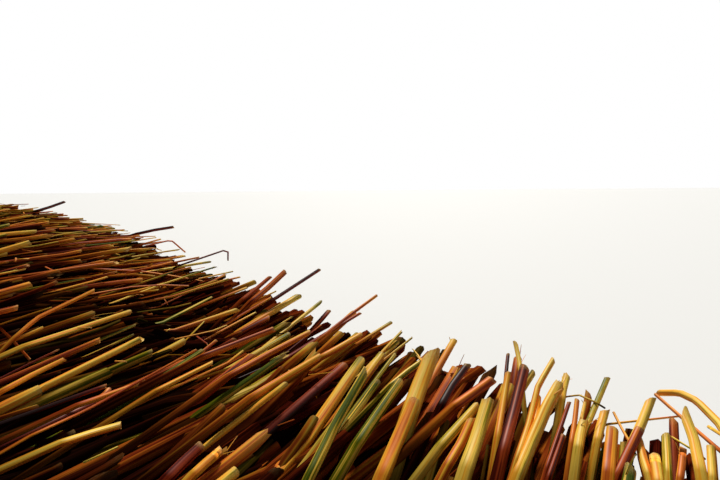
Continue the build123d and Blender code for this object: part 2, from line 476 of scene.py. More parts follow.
def heap_height(x, y):
    """Height that the butts reach on the front half of the raft."""
    column = np.interp(x, HEAP_X, range(len(HEAP_X)))
    row = np.interp(y, HEAP_Y, range(len(HEAP_Y)))
    c, r = min(int(column), len(HEAP_X) - 2), min(int(row), len(HEAP_Y) - 2)
    u, v = column - c, row - r
    smooth = ((1 - v) * ((1 - u) * HEAP_Z[r, c] + u * HEAP_Z[r, c + 1])
              + v * ((1 - u) * HEAP_Z[r + 1, c] + u * HEAP_Z[r + 1, c + 1]))
    waves = 0.012 * sin(7.1 * x + 2.3 * y) + 0.010 * sin(11.3 * y - 5.2 * x + 1.0)
    return smooth + waves


def bed_height(x, y):
    """Height of the bed, painted dark as shade, on which the reeds that show lie. It falls past
    the rim.
    """
    if y < 0.0:
        x, y = -x, -y
    if y < RIM:
        return max(heap_height(x, y) - BED_DEPTH, arch(x) + LAYER + 0.012)
    return heap_height(x, min(y, FRONT)) - BED_DEPTH - 0.12 * (y - RIM)


print("height of the heap below the camera:", round(heap_height(2.6, 1.5), 3))

# %% [markdown]
# ## Reeds placed one by one
# The eye knows the picture by a few dozen reeds: the thick golden one with its sheath, the
# green pair beside it, the arched one on the right. Each is written as places in the picture,
# from its butt to where it goes under. The camera model turns these into points: the last lies
# on the heap, and the butt is as far beyond it as the common lay would put it.

# %% Table of placed reeds
PLACED = (
    # tint, width in the picture, slant, torn, then places from the butt inwards
    (0.55, 14.5, 0.3, 0.2, (413, 404), (402, 430), (381, 479)),
    (0.77, 17.0, 1.2, 0.9, (427, 367), (418, 390), (408, 418)),
    (0.93, 10.5, 0.9, 0.4, (363, 376), (335, 425), (308, 479)),
    (0.90, 11.0, 0.5, 0.2, (398, 385), (377, 415), (356, 446)),
    (0.87, 6.0, 0.8, 0.8, (424, 360), (407, 372), (389, 387)),
    (0.38, 10.5, 0.7, 0.3, (490, 381), (472, 394), (452, 408)),
    (0.79, 10.0, 0.3, 0.4, (475, 408), (457, 428), (439, 448)),
    (0.74, 14.0, 0.4, 0.5, (487, 404), (478, 435), (465, 472)),
    (0.52, 9.5, 0.9, 0.6, (470, 423), (460, 445), (446, 468)),
    (0.21, 11.0, 0.4, 0.3, (524, 370), (514, 410), (502, 455)),
    (0.76, 4.5, 1.6, 2.4, (516, 346), (519, 360), (521, 376)),
    (0.60, 6.5, 0.8, 0.6, (552, 362), (538, 386), (528, 427), (516, 462)),
    (0.71, 12.5, 0.6, 0.8, (556, 390), (546, 408), (530, 445), (516, 478)),
    (0.89, 6.0, 0.5, 0.3, (607, 379), (596, 405), (586, 428)),
    (0.52, 12.5, 0.1, 0.2, (612, 430), (610, 452), (608, 476)),
    (0.27, 10.0, 0.4, 0.2, (639, 430), (628, 453), (617, 477)),
    (0.72, 9.5, 1.2, 0.5, (649, 404), (642, 422), (630, 450)),
    (0.74, 8.4, 0.5, 0.4, (661, 393), (680, 393), (697, 401), (720, 424), (736, 448)),
    (0.45, 4.0, 0.4, 0.3, (656, 395), (688, 423), (725, 455)),
    (0.60, 2.4, 0.3, 0.3, (682, 416), (645, 420), (609, 424)),
    (0.62, 2.8, 0.3, 0.3, (614, 413), (621, 427), (630, 443)),
    (0.78, 8.4, 0.3, 0.3, (666, 437), (667, 455), (668, 475)),
    (0.72, 10.5, 2.6, 0.4, (688, 424), (694, 440), (701, 474)),
    (0.71, 11.0, 0.3, 0.3, (655, 459), (657, 470), (659, 485)),
    (0.62, 8.4, 1.0, 0.3, (640, 445), (644, 460), (649, 476)),
    (0.76, 8.4, 1.4, 0.3, (604, 414), (600, 428), (597, 442)),
    (0.74, 10.0, 0.4, 0.8, (583, 424), (580, 437), (578, 450)),
    (0.66, 8.0, 0.8, 1.6, (566, 379), (563, 390), (561, 402)),
    (0.12, 8.0, 0.4, 0.6, (466, 367), (452, 386), (440, 407)),
    (0.10, 4.0, 0.3, 0.3, (508, 355), (507, 364), (506, 375)),
    (0.52, 7.5, 0.5, 0.3, (508, 374), (503, 404), (497, 440)),
    (0.72, 9.0, 0.4, 0.4, (711, 448), (712, 462), (713, 480)),
    (0.56, 7.0, 0.8, 0.8, (683, 451), (682, 464), (680, 480)),
    (0.10, 3.6, 0.3, 0.2, (319, 270), (296, 285), (270, 302)),
    (0.45, 3.6, 0.3, 0.2, (376, 296), (350, 315), (318, 340)),
    (0.30, 6.0, 0.5, 0.2, (284, 273), (268, 288), (250, 303)),
    (0.24, 4.6, 0.5, 0.2, (269, 278), (255, 290), (241, 301)),
    (0.06, 3.4, 0.3, 0.2, (173, 227), (154, 230), (136, 234)),
    (0.06, 3.0, 0.3, 0.2, (64, 202), (50, 207), (37, 211)),
    (0.62, 4.6, 0.5, 0.3, (93, 291), (37, 318), (12, 340)),
    (0.35, 3.6, 0.3, 0.3, (29, 359), (20, 349), (11, 339)),
    (0.50, 2.2, 0.3, 0.2, (211, 283), (173, 276), (138, 271), (95, 269)),
    (0.50, 2.0, 0.3, 0.2, (188, 286), (162, 285), (132, 287), (86, 295)),
    (0.66, 6.5, 0.6, 0.3, (127, 313), (75, 330), (23, 347)),
    (0.50, 6.5, 0.5, 0.2, (359, 336), (340, 347), (320, 358)),
    (0.52, 8.4, 0.5, 0.2, (317, 358), (285, 377), (249, 399)),
    (0.53, 7.0, 0.5, 0.2, (308, 333), (268, 354), (227, 377)),
    (0.34, 7.0, 0.6, 0.3, (272, 330), (236, 344), (200, 358)),
    (0.70, 8.4, 0.7, 0.3, (118, 426), (90, 434), (59, 444)),
    (0.56, 5.6, 0.6, 0.6, (210, 364), (182, 378), (154, 392)),
    (0.50, 3.2, 0.3, 0.3, (196, 350), (142, 380), (87, 410), (30, 436)),
    (0.50, 6.0, 0.6, 0.9, (135, 385), (105, 396), (76, 406)),
    (0.17, 12.0, 0.2, 0.2, (200, 447), (183, 463), (166, 480)),
    (0.64, 10.0, 0.6, 0.3, (219, 452), (205, 464), (192, 476)),
    (0.50, 6.0, 0.5, 0.2, (63, 360), (32, 375), (0, 392)),
    (0.72, 1.9, 0.3, 0.3, (554, 407), (564, 397), (579, 395), (595, 402)),
    (0.30, 4.5, 0.5, 0.4, (569, 403), (558, 435), (546, 470)),
    (0.42, 5.0, 0.5, 0.4, (577, 401), (575, 420), (571, 445)),
    (0.74, 3.6, 0.5, 0.6, (585, 403), (582, 416), (579, 430)),
    (0.50, 6.5, 0.3, 0.3, (538, 398), (537, 412), (534, 428)),
    (0.26, 5.5, 0.4, 0.4, (563, 436), (556, 456), (548, 479)),
    (0.76, 2.2, 0.3, 0.3, (667, 434), (680, 442), (695, 451)),
    (0.76, 3.8, 0.3, 0.3, (709, 427), (717, 432), (728, 439)),
    (0.44, 1.8, 0.3, 0.3, (185, 252), (171, 240), (146, 246)),
    (0.10, 1.8, 0.3, 0.3, (228, 260), (228, 249), (178, 266)),
)
print(len(PLACED), "reeds are placed by eye")


# %% From places in the picture to points on the heap
FARTHEST = 2.10
LAY = radians(19.0)
LAY_AWAY = unit((-sin(LAY), cos(LAY), 0.25))


def on_heap(across, down):
    """Nearest point of the heap, or of the rim, that shows at a place in the picture."""
    for away in np.arange(0.30, 6.0, 0.01):
        point = spot(across, down, away)
        if point[2] <= heap_height(point[0], min(point[1], FRONT)) + 0.004 or point[1] > 1.93:
            break
    return point, away


def placed_path(places, under_heap):
    """Points from the butt inwards, the last one under the heap, or else just on it."""
    under, away = on_heap(*places[-1])
    line = np.array(places, float)
    steps = np.hypot(*np.diff(line, axis=0).T)
    ray = spot(*places[0], 1.0) - EYE
    spread_out = norm(np.cross(unit(ray), LAY_AWAY))
    long = steps.sum() / FOCAL * away / max(spread_out, 0.45)
    back = EYE - under
    b, c = ray @ back, back @ back - long ** 2
    root = max(b * b - (ray @ ray) * c, 0.0)
    far = (-b + sqrt(root)) / (ray @ ray)
    if ray[1] > 0.0:
        far = min(far, (FARTHEST - EYE[1]) / ray[1])
    share = np.concatenate(((0.0,), np.cumsum(steps))) / steps.sum()
    shares = np.linspace(0.0, 1.0, 3 * len(places))
    bend = points_at(line, share, shares)
    ahead_by = far + (away - far) * shares
    points = np.array([spot(x, y, d) for (x, y), d in zip(bend, ahead_by)])
    rest = unit(points[-1] - points[-3]) + (0.0, 0.0, -0.12)
    tail = points[-1] + rest * np.array((0.45, 1.0))[:, None] * (0.22 if under_heap else 0.02)
    first = points[0] + unit(points[1] - points[0]) * 0.006
    return np.concatenate((points[:1], first[None], points[1:], tail)), ahead_by


print("the first placed butt is seen before", on_heap(*PLACED[0][4])[0].round(2))


# %% Paths of the placed reeds, and what they cover in the picture
placed_paths = []
placed = []
for tint, width, slant, torn, *places in PLACED:
    path, ahead_by = placed_path(places, width > 3.0)
    thick = 0.5 * width * float(np.mean(ahead_by)) / FOCAL
    placed_paths.append((path, thick))
    part = np.linspace(0.0, 1.0, 14)
    seen = points_at(np.array(places, float), np.linspace(0.0, 1.0, len(places)), part)
    away = np.interp(part, (0, 1), (ahead_by[0], ahead_by[-1]))
    placed.append(np.column_stack((seen, away, np.full(len(part), width))))
    print("placed", places[0], "thick", round(2000 * thick, 1), "mm, butt at", path[0].round(2))
placed = np.concatenate(placed)

# %% [markdown]
# ## Laying the top reeds
# As in thatch, each reed's butt shows and its other end goes down between the reeds behind it.
# So a butt is chosen on the heap's surface, and the reed runs from it inwards and down at a
# slight slope. Whole reeds scattered at random would leave their inner ends in sight.

# %% The run of a reed
LEAN = 15.0
SKEW = tan(radians(LEAN))
TOP_WIDTH = 0.73333
OUTER_EDGE = 1.33
HALF_LEAN = OUTER_EDGE * SKEW / 2
SIDE_LIMIT = 3.44


def across_sheaf(middle, y, u):
    """x of a place on a top sheaf, u to the side of its middle line, which leans."""
    return middle + HALF_LEAN - y * SKEW + u


def reed_path(rng, butt, yaw, slope, length, rings, tips=(), bend=0.07, kink=0.0):
    """Points of a reed from its butt into the heap. A kink turns its last stretch aside."""
    plan = np.array((sin(yaw), -cos(yaw)))
    side = np.array((cos(yaw), sin(yaw)))
    first = tips[-1] if tips else 0.0
    t = np.concatenate(((0.0,), tips, np.linspace(first, length, rings)[1:]))
    sway = rng.normal(0.0, bend) * t ** 2
    sag = abs(rng.normal(0.03, 0.04)) * t ** 2
    points = np.empty((len(t), 3))
    points[:, :2] = (np.asarray(butt)[:2] + plan * t[:, None] * cos(slope)
                     + side * sway[:, None])
    points[:, 2] = butt[2] - t * sin(slope) - sag
    if kink:
        outer = np.clip(0.09 - t, 0.0, None)
        points[:, :2] += side * (kink * outer)[:, None]
        points[:, 2] -= 0.6 * abs(kink) * outer
    return points


print("a top sheaf leans", round(2 * HALF_LEAN, 3), "m over its length")


# %% Where a point shows, and how finely its reed is made
def project(points):
    """Where points show in the picture: across, down and how far ahead."""
    offset = np.atleast_2d(points) - EYE
    away = offset @ ahead
    across = PICTURE[0] / 2 + FOCAL * (offset @ right) / away
    down = PICTURE[1] / 2 - FOCAL * (offset @ top) / away
    return np.stack((across, down, away), 1)


# FADE is the depth at which a reed's painted shade is full.
FADE = 0.020  # metres under the surface where a reed has gone dark
BESIDE, BELOW = 150, 200  # pixels outside the picture where reeds are still made finely
DETAIL = (
    # as far as, sides, rings along the reed, rings close to its butt
    (1.0, 11, 5, (0.007, 0.040)),
    (1.6, 9, 4, (0.007, 0.040)),
    (2.4, 7, 3, (0.010, 0.050)),
    (4.5, 5, 3, (0.025,)),
    (9.9, 5, 3, ()),
)


def detail(butt, depth):
    """Sides, rings and butt rings: fewer far off, deep down and out of the picture."""
    across, down, away = project(butt)[0]
    beside = max(-across, across - PICTURE[0])
    if away <= 0.1 or beside >= BESIDE or down >= PICTURE[1] + BELOW:
        return DETAIL[-1][1:]
    away = norm(np.asarray(butt) - EYE)
    sides, rings, tips = next(row[1:] for row in DETAIL if away < row[0])
    if depth > FADE:
        return max(sides - 3, FEWEST), min(rings, 4), tips[:1]
    return sides, rings, tips


print("a butt on the near rim is made with", detail((2.3, 1.9, 0.45), 0.0))


# %% [markdown]
# Some stems still wear a papery sheath with a torn collar, and some are frayed into slivers.
# Both are tubes too, so the same function makes them.

# %% Sheaths and slivers
def add_sheath(heap, path, thick, sides, tint, age):
    """A papery sheath round a stem, from a torn collar a little way behind its butt."""
    rng = heap.rng
    run = run_of(path)
    first = rng.uniform(0.03, 0.16)
    t = np.linspace(first, min(first + rng.uniform(0.08, 0.25), run[-1]), 4)
    add_reed(heap, points_at(path, run, t), thick * 1.13, sides, tint, age, 0.5, 1.2, 0.95,
             sink=0.0, pale=0.25)


def add_slivers(heap, path, thick, tint, count):
    """Thin split fibres that stand out from a broken butt."""
    rng = heap.rng
    out = unit(path[0] - path[1])
    for _ in range(count):
        start = path[0] + rng.normal(0.0, 0.5 * thick, 3) - out * 0.01
        aim = out + rng.normal(0.0, 0.35, 3)
        long = thick * rng.uniform(2.0, 4.5)
        t = np.array((1.0, 0.6, 0.25, 0.0))[:, None] * long
        run = start + aim * t + (0.0, 0.0, -6.0) * t ** 2
        add_reed(heap, run, thick * rng.uniform(0.10, 0.28), FEWEST, tint, 0.0,
                 0.8, 1.0, 0.35, taper=0.6, pale=0.9)


# %% [markdown]
# Reeds of three thicknesses lie at random depths. The top ones catch the light, and the ones
# below show between them, painted darker the deeper they lie, as painted shade. The middle of
# the heap has more thin stems, and the rim near the camera more thick golden ones.

# %% Keeping the view of the placed reeds free
def hides_placed(path, thick):
    """Whether a reed would stand in front of one of the placed reeds."""
    if norm(path[0] - EYE) > 2.6:
        return False
    along = norm(path - path[0], axis=1)
    t = np.linspace(0.0, min(0.30, along[-1]), 9)
    seen = project(points_at(path, along, t))
    seen = seen[seen[:, 2] > 0.05]
    if not len(seen):
        return False
    gap = np.hypot(*(seen[:, None, :2] - placed[None, :, :2]).transpose(2, 0, 1))
    wide = FOCAL * thick / seen[:, None, 2] + 0.5 * placed[None, :, 3]
    return bool(((gap < 0.75 * wide) & (seen[:, None, 2] < placed[None, :, 2] + 0.02)).any())


# %% How one reed lies: its thickness, aim, slope and length
THICK = (0.0070, 0.0104)
MIDDLING = (0.0042, 0.0070)
THIN = (0.0018, 0.0038)
PROBE = 0.3
print("ranges of radius:", THICK, MIDDLING, THIN)


def choose_run(rng, x, y, near, fan, coarse):
    """Radius, aim, slope and length of a reed with its butt at a place."""
    kind = rng.random()
    thickest = 0.40 if coarse else 0.11 + 0.41 * near
    sizes = THICK if kind < thickest else MIDDLING if kind < thickest + 0.34 else THIN
    thick = rng.uniform(*sizes)
    yaw = rng.normal(LAY, radians(6.5))
    if rng.random() < 0.12 and thick < 0.0045:
        yaw += radians(rng.choice((-1, 1)) * rng.uniform(12.0, 45.0))
    yaw = min(yaw, asin(np.clip((SIDE_LIMIT - x) / 0.5, 0.10, 1.0)))
    inside = (x + PROBE * sin(yaw), y - PROBE * cos(yaw))
    rise = atan((heap_height(*inside) - heap_height(x, y)) / PROBE)
    slope = max(rng.normal(radians(8.5 + 8.0 * near * fan), radians(3.2)), 0.05)
    slope -= 0.65 * rise
    length = rng.uniform(0.45, 1.15) * (1.0 - 0.4 * fan)
    aside = sin(yaw)
    if abs(aside) > 0.05:
        room = SIDE_LIMIT - x if aside > 0.0 else SIDE_LIMIT + x
        length = min(length, max(0.12, room / abs(aside)))
    return thick, yaw, slope, length


# %% One reed laid on the heap
def lay_reed(heap, x, y, z, fan, coarse, depth):
    """Lays one reed, its butt at a place, depth below the surface. fan is 1 at the rim."""
    rng = heap.rng
    near = np.clip((x - 1.3) / 1.1, 0.0, 1.0) * np.clip((y - 1.2) / 0.35, 0.0, 1.0)
    thick, yaw, slope, length = choose_run(rng, x, y, near, fan, coarse)
    # Reeds at the surface get lighter tints than those below: painted light.
    lit = np.clip(1.0 - depth / FADE, 0.0, 1.0)
    tint = np.clip(rng.normal(0.26 + 0.23 * lit + 0.14 * near, 0.17 + 0.04 * lit), 0.03, 0.79)
    if rng.random() < 0.08:
        tint = rng.uniform(0.88, 1.0)
    stale = rng.uniform(0.35, 0.85) if rng.random() < 0.34 - 0.14 * near else 0.0
    sides, rings, tips = DETAIL[-1][1:] if coarse else detail((x, y, z), depth)
    kink = rng.uniform(-0.9, 0.9) if tips and rng.random() < 0.05 else 0.0
    path = reed_path(rng, (x, y, z), yaw, slope, length, rings, tips, kink=kink)
    rest = rng.uniform(0.0, 0.016)
    for point in path:
        point[2] = max(point[2], bed_height(point[0], point[1]) + rest)
    if not coarse and hides_placed(path, thick):
        return
    along = norm(path - path[0], axis=1)
    # Painted shade by depth and along the run in under other reeds, and a random age for some.
    dark = stale + (depth + (0.002 if sides > 6 else 0.008)) / FADE + along / 0.50
    # Near the butt of a lit reed the shade eases: painted light.
    dark = np.clip(dark, 0.0, 0.97) * (1.0 - 0.62 * max(lit, 0.15) * np.exp(-along / 0.07))
    golden = 0.26 * np.exp(-along / 0.035) if tips else 0.14 * np.exp(-along / 0.08)
    # The tint goes redder with the painted shade.
    shades = tint + (golden - 0.03 - 0.20 * dark if tint < 0.8 else 0.0 * along)
    slant, torn = rng.uniform(0.05, 0.7), 0.15
    if rng.random() < 0.25:
        slant, torn = rng.uniform(0.5, 2.0), rng.uniform(0.6, 2.4)
    add_reed(heap, path, thick, sides, shades, dark, slant, torn,
             rng.uniform(0.65, 1.0), taper=rng.uniform(-0.1, 0.2),
             sink=rng.uniform(0.1, 0.9), pale=rng.uniform(0.4, 1.0))
    if sides > 6 and depth < FADE:
        if rng.random() < 0.12 and thick > 0.006 and sides > 8:
            add_sheath(heap, path, thick, sides, tint + rng.uniform(-0.12, 0.2), dark[0])
        if rng.random() < (0.18 if sides > 8 else 0.10):
            add_slivers(heap, path, thick, tint + 0.1, 3 if sides > 8 else 2)


# %% The bed under the reeds, painted dark as shade
BED_END = 1.84
BED_RIDGES = 20
print("the bed in the middle is at", round(bed_height(0.0, 0.0), 3))


def add_bed(heap, middle):
    """Ridged slab painted near black as shade under the reeds that show, so no light comes
    through.
    """
    across = np.linspace(-TOP_WIDTH / 2, TOP_WIDTH / 2, 2 * BED_RIDGES + 1)
    lengths = np.linspace(0.0, BED_END, 15)
    upper = np.empty((len(lengths), len(across), 3))
    for i, y in enumerate(lengths):
        for j, u in enumerate(across):
            x = across_sheaf(middle, y, u)
            upper[i, j] = (x, y, bed_height(x, y) - 0.008 * (j % 2))
    lower = upper.copy()
    lower[:, :, 2] = np.minimum(arch(upper[:, :, 0]) + LAYER, upper[:, :, 2] - 0.003)
    lower[upper[:, :, 1] > RIM, 2] -= 0.05
    points = np.concatenate((upper.reshape(-1, 3), lower.reshape(-1, 3)))
    count = len(points) // 2
    grid = np.arange(count).reshape(len(lengths), len(across))
    faces = grid_quads(grid)
    loop = np.concatenate((grid[0], grid[1:, -1], grid[-1, -2::-1], grid[-2:0:-1, 0]))
    walls = grid_quads(closed(np.array((loop, loop + count))), flip=True)
    quads = np.concatenate((faces, faces[:, ::-1] + count, walls))
    # The bed is painted near black: painted shade between the reeds.
    heap.add(points, quads, NO_TRIS, 0.3, 0.95, 0.0, points[:, (0, 2, 1)])


# %% [markdown]
# Between its ridges of reed the heap has black hollows, written here as places in the picture.
# In a hollow the reeds lie lower and fewer, deeper in painted shade, and the dark ones show.

# %% Hollows
HOLLOWS = (
    # across, down, radius on the heap
    (130, 295, 0.08), (85, 299, 0.06), (170, 291, 0.05), (12, 301, 0.05), (80, 375, 0.05),
    (126, 404, 0.05), (191, 409, 0.04), (40, 426, 0.05), (308, 424, 0.04), (342, 459, 0.03),
    (412, 452, 0.04), (318, 399, 0.03), (60, 262, 0.08),
)
hollows = np.array([(*on_heap(across, down)[0][:2], wide) for across, down, wide in HOLLOWS])


def hollow(x, y):
    """1 in the middle of a hollow and 0 outside all of them."""
    gone = np.hypot(x - hollows[:, 0], y - hollows[:, 1]) / hollows[:, 2]
    return float(np.exp(-gone.min() ** 2))


print("hollows on the heap:", hollows.round(2).tolist())


# %% Where butts go on a sheaf
def scatter(rng, middle, low, high, density):
    """Places spread evenly but not regularly over a strip of a sheaf."""
    step = 1.0 / sqrt(density)
    for v in np.arange(low, high, step):
        for u in np.arange(-TOP_WIDTH / 2, TOP_WIDTH / 2, step):
            y = v + step * rng.random()
            yield across_sheaf(middle, y, u + step * rng.random()), y


STRATA = (
    # from y, to y, reeds per square metre, highest and lowest butt against the surface
    (-0.04, 1.33, 84, 0.014, -0.008),
    (-0.04, 1.33, 185, -0.012, -0.050),
    (1.33, 1.95, 135, 0.014, -0.006),
    (1.33, 1.95, 340, -0.012, -0.060),
)
print("butts of a top sheaf:", round(sum(TOP_WIDTH * (b - a) * n for a, b, n, *_ in STRATA)))


# %% Reeds at the two ends of the raft
EDGES = (
    # reeds at the left and at the right end, then ranges along it, in from its side, of length
    (170, 170, (0.30, 1.92), (-0.004, 0.022), (0.3, 0.7)),
    (0, 70, (0.20, 0.34), (0.0, 0.40), (0.25, 0.45)),
)
print("reeds at the ends:", [sum(row[end] for row in EDGES) for end in (0, 1)])


def add_edge_reeds(heap, middle, way):
    """Reeds along the bare side of an end sheaf, and past its inner end where it shows."""
    rng = heap.rng
    for *counts, places, insets, lengths in EDGES:
        for _ in range(counts[way > 0]):
            y = rng.uniform(*places)
            x = across_sheaf(middle, y, way * (TOP_WIDTH / 2 - rng.uniform(*insets)))
            floor = arch(x) + LAYER + (0.012 if y < RIM else -0.045)
            z = rng.uniform(floor, bed_height(x, y) + 0.012)
            length = rng.uniform(*lengths)
            path = reed_path(rng, (x, y, z), radians(rng.normal(LEAN, 1.2)), 0.0,
                             min(length, y + 0.12), 4, bend=0.02)
            path[:, 2] = np.maximum(path[:, 2], arch(path[:, 0]) + LAYER + 0.008)
            add_reed(heap, path, rng.uniform(0.006, 0.011), FEWEST,
                     rng.uniform(0.12, 0.6), rng.uniform(0.15, 0.75), rng.uniform(0.1, 0.8),
                     0.3, sink=0.3, pale=0.7)


# %% Layers of a sheaf: on the heap, painted dark as shade under the rim, and litter
def lay_strata(heap, middle, coarse):
    """The reeds on the heap and out over its rim, in two layers each."""
    rng = heap.rng
    for low, high, density, up, down in STRATA:
        for x, y in scatter(rng, middle, low, high, density * (0.66 if coarse else 1.0)):
            sunk = 0.0 if coarse else hollow(x, y)
            if up > 0.0 and rng.random() < 0.7 * sunk:
                continue
            fan = np.clip((y - 1.2) / 0.4, 0.0, 1.0)
            lift = rng.uniform(down, up) - 0.030 * sunk
            if up > 0.0 and rng.random() < 0.08:
                lift += rng.uniform(0.015, 0.045)
            lay_reed(heap, x, y, heap_height(x, y) + lift, fan, coarse, -lift)


def add_dark_reeds(heap, middle, density, reach):
    """Reeds under the fanned butts at the rim, painted darker the deeper they lie, as shade."""
    rng = heap.rng
    for x, y in scatter(rng, middle, 1.50, reach, density):
        floor = arch(x) + LAYER + 0.01
        crown = heap_height(x, min(y, FRONT)) - 0.030
        z = rng.uniform(min(floor, crown - 0.10), crown)
        thick = rng.uniform(0.007, 0.012)
        path = reed_path(rng, (x, y, z), rng.normal(LAY, 0.10), rng.normal(0.09, 0.05),
                         rng.uniform(0.3, 0.5), 3)
        # Painted shade: darker the deeper below the crown, never below 0.58.
        dark = np.clip((crown - z) / 0.07, 0.58, 0.93)
        add_reed(heap, path, thick, FEWEST, rng.uniform(0.10, 0.50), dark,
                 rng.uniform(0.1, 0.6), 0.2, sink=0.2, pale=0.6)


def add_litter(heap, middle, density):
    """Short broken bits lying on the heap."""
    rng = heap.rng
    for x, y in scatter(rng, middle, 0.0, RIM, density):
        yaw, half = rng.uniform(0.0, pi), rng.uniform(0.006, 0.022)
        aside = (cos(yaw) * half, sin(yaw) * half, rng.uniform(-0.3, 0.3) * half)
        bit = np.array((x, y, heap_height(x, y) + 0.008))
        add_reed(heap, (bit + aside, bit - aside), rng.uniform(0.0008, 0.0026), FEWEST,
                 rng.uniform(0.35, 0.78), 0.0, 0.6, 1.2, 0.5)


# %% The nine sheaves in front and the nine behind
def lay_sheaf(number, coarse, seed):
    """All reeds of a front top sheaf. A coarse one, for the back, has fewer."""
    heap = Heap(seed)
    middle = (number - 5) * TOP_WIDTH
    add_bed(heap, middle)
    lay_strata(heap, middle, coarse)
    if number in (1, 9):
        add_edge_reeds(heap, middle, 1 if number > 5 else -1)
    below, reach = (230, 1.96) if coarse else (1150, 2.03) if number > 6 else (430, 1.96)
    add_dark_reeds(heap, middle, below, reach)
    add_litter(heap, middle, 8 if coarse else 34)
    return heap


for number in range(1, 10):
    heap = lay_sheaf(number, False, 100 + number)
    heap.piece(f"front_reeds_{number}", reed_top, "reed_top", (f"top_sheaf_{number}_front",))
for number in range(1, 10):
    heap = lay_sheaf(number, True, 200 + number)
    heap.piece(f"back_reeds_{10 - number}", reed_top, "reed_top",
               (f"top_sheaf_{10 - number}_back",), turned=True)

# %% The placed reeds
heap = Heap(71)
rng = heap.rng
for (path, thick), (tint, width, slant, torn, *places) in zip(placed_paths, PLACED):
    # The end that goes in under the heap is painted dark: painted shade.
    under = np.zeros(len(path))
    under[-4:] = (0.15, 0.45, 0.85, 0.95)
    along = norm(path - path[0], axis=1)
    shades = tint + (0.05 * np.exp(-along / 0.05) if tint < 0.75 else 0.0 * along)
    sides = 14 if thick > 0.005 else 8
    add_reed(heap, path, thick, sides, shades, under, slant, torn,
             rng.uniform(0.8, 1.0), taper=rng.uniform(-0.05, 0.1),
             sink=rng.uniform(0.2, 0.8), pale=rng.uniform(0.7, 1.0))
    if torn > 0.7:
        add_slivers(heap, path, thick, tint + 0.05, 4)
heap.piece("rim_reeds", reed_top, "reed_top")

# %% [markdown]
# ## Single reeds lying loose
# A few slightly bowed reeds, the CAD's loose ones, lie across the others where they fell.

# %% Loose reeds
LOOSE = (
    # sheaf, along it, across it, turn in degrees, radius, length
    (2, 0.500, 0.040, 34, 0.009, 0.480),
    (4, 0.820, -0.060, -38, 0.011, 0.520),
    (6, 0.380, 0.030, -29, 0.008, 0.460),
    (8, 0.860, 0.050, 36, 0.010, 0.500),
)
heap = Heap(31)
lean = radians(LEAN)
for half in (1, -1):
    for number, along, across, turn, thick, length in LOOSE:
        middle = (number - 5) * TOP_WIDTH + HALF_LEAN
        x = middle - along * sin(lean) - across * cos(lean)
        y = along * cos(lean) - across * sin(lean)
        yaw = lean + radians(turn)
        t = np.linspace(-0.5, 0.5, 7) * length
        z = heap_height(x, y) + 0.030 + 0.05 * (0.25 * length ** 2 - t ** 2)
        path = np.stack((x - t * sin(yaw), y + t * cos(yaw), z), 1)[::-1]
        path = path * (half, half, 1.0)
        add_reed(heap, path, thick, 10, heap.rng.uniform(0.4, 0.7), 0.0, 0.5, 0.4)
heap.piece("stray_reeds", reed_top, "reed_top", ("loose_reeds",))

# %% [markdown]
# ## The layers below
# Under the top layer lie reeds along the raft, and under these reeds across it. Their cut ends
# show at the raft's sides. Each sheaf is a closed body with reed backs on its skin and stubs at
# its ends, which cost far less than whole reeds.

# %% Finish of the older reeds
reed_under = reed_finish("reed_under")


# %% A body with reed backs, swept along a row of stations
def add_body(heap, stations, tint=0.3, age=0.35):
    """Closed body through stations, each an array of the same outline's points."""
    points = np.concatenate(stations)
    heart = len(points)
    index = closed(np.arange(heart).reshape(len(stations), -1))
    tris = np.concatenate((fan(index[0], heart, flip=True), fan(index[-1], heart + 1)))
    points = np.concatenate((points, (stations[0].mean(0), stations[-1].mean(0))))
    heap.add(points, grid_quads(index), tris, tint, age, 0.0, points)


# %% Outline of a bundle
BACK_PITCH = 0.024
BACK_DEPTH = 0.007


def reed_backs(width, height):
    """Outline of a bundle, counter-clockwise from its lower left corner, with reed backs."""
    line = []
    corners = ((0, 0), (width, 0), (width, height), (0, height))
    for (x0, y0), (x1, y1) in zip(corners, corners[1:] + corners[:1]):
        span = hypot(x1 - x0, y1 - y0)
        count = max(1, round(span / BACK_PITCH))
        normal = ((y1 - y0) / span, -(x1 - x0) / span)
        for step in range(count):
            for part, out in ((0.0, -1.0), (0.3, 0.0), (0.7, 0.0)):
                share = (step + part) / count
                line.append((x0 + share * (x1 - x0) + out * BACK_DEPTH * normal[0],
                             y0 + share * (y1 - y0) + out * BACK_DEPTH * normal[1]))
    return np.array(line)


print("outline of a base sheaf:", len(reed_backs(TOP_WIDTH, 1.0)), "points")

# %% Cut ends over one face of a sheaf
STUB_STEP = 0.026
print("stubs across a base sheaf:", round(TOP_WIDTH / STUB_STEP))


def add_stubs(heap, corner, side, up, out, size, reach, droop=0.0, roof=None):
    """Cut ends over a face. corner is its lower corner, and side, up and out are its ways.

    roof gives the height of the face where its upper edge isn't level.
    """
    rng = heap.rng
    side, up, out = (np.asarray(way, float) for way in (side, up, out))
    rows = max(1, round(size[1] / (0.88 * STUB_STEP)))
    columns = max(1, round(size[0] / STUB_STEP))
    for row in range(rows):
        for column in range(columns):
            cell = column + 0.5 * (row % 2) + 0.5 + rng.uniform(-0.25, 0.25)
            a = cell * size[0] / (columns + 0.5)
            b = (row + 0.5 + rng.uniform(-0.2, 0.2)) * size[1] / rows
            if roof and b > roof(corner[0] + side[0] * a):
                continue
            far = reach[0] + (reach[1] - reach[0]) * rng.random() ** 2.2
            aim = out + side * rng.normal(0.0, 0.07) + up * (rng.normal(0.0, 0.05) - droop)
            seat = np.asarray(corner) + side * a + up * b
            path = np.stack((seat + aim * far, seat - out * 0.02))
            add_reed(heap, path, rng.uniform(0.0098, 0.0136), FEWEST,
                     rng.normal(0.38, 0.14), rng.uniform(0.0, 0.25), rng.uniform(0.0, 0.5),
                     0.15, sink=0.15, pale=rng.uniform(0.35, 0.9))


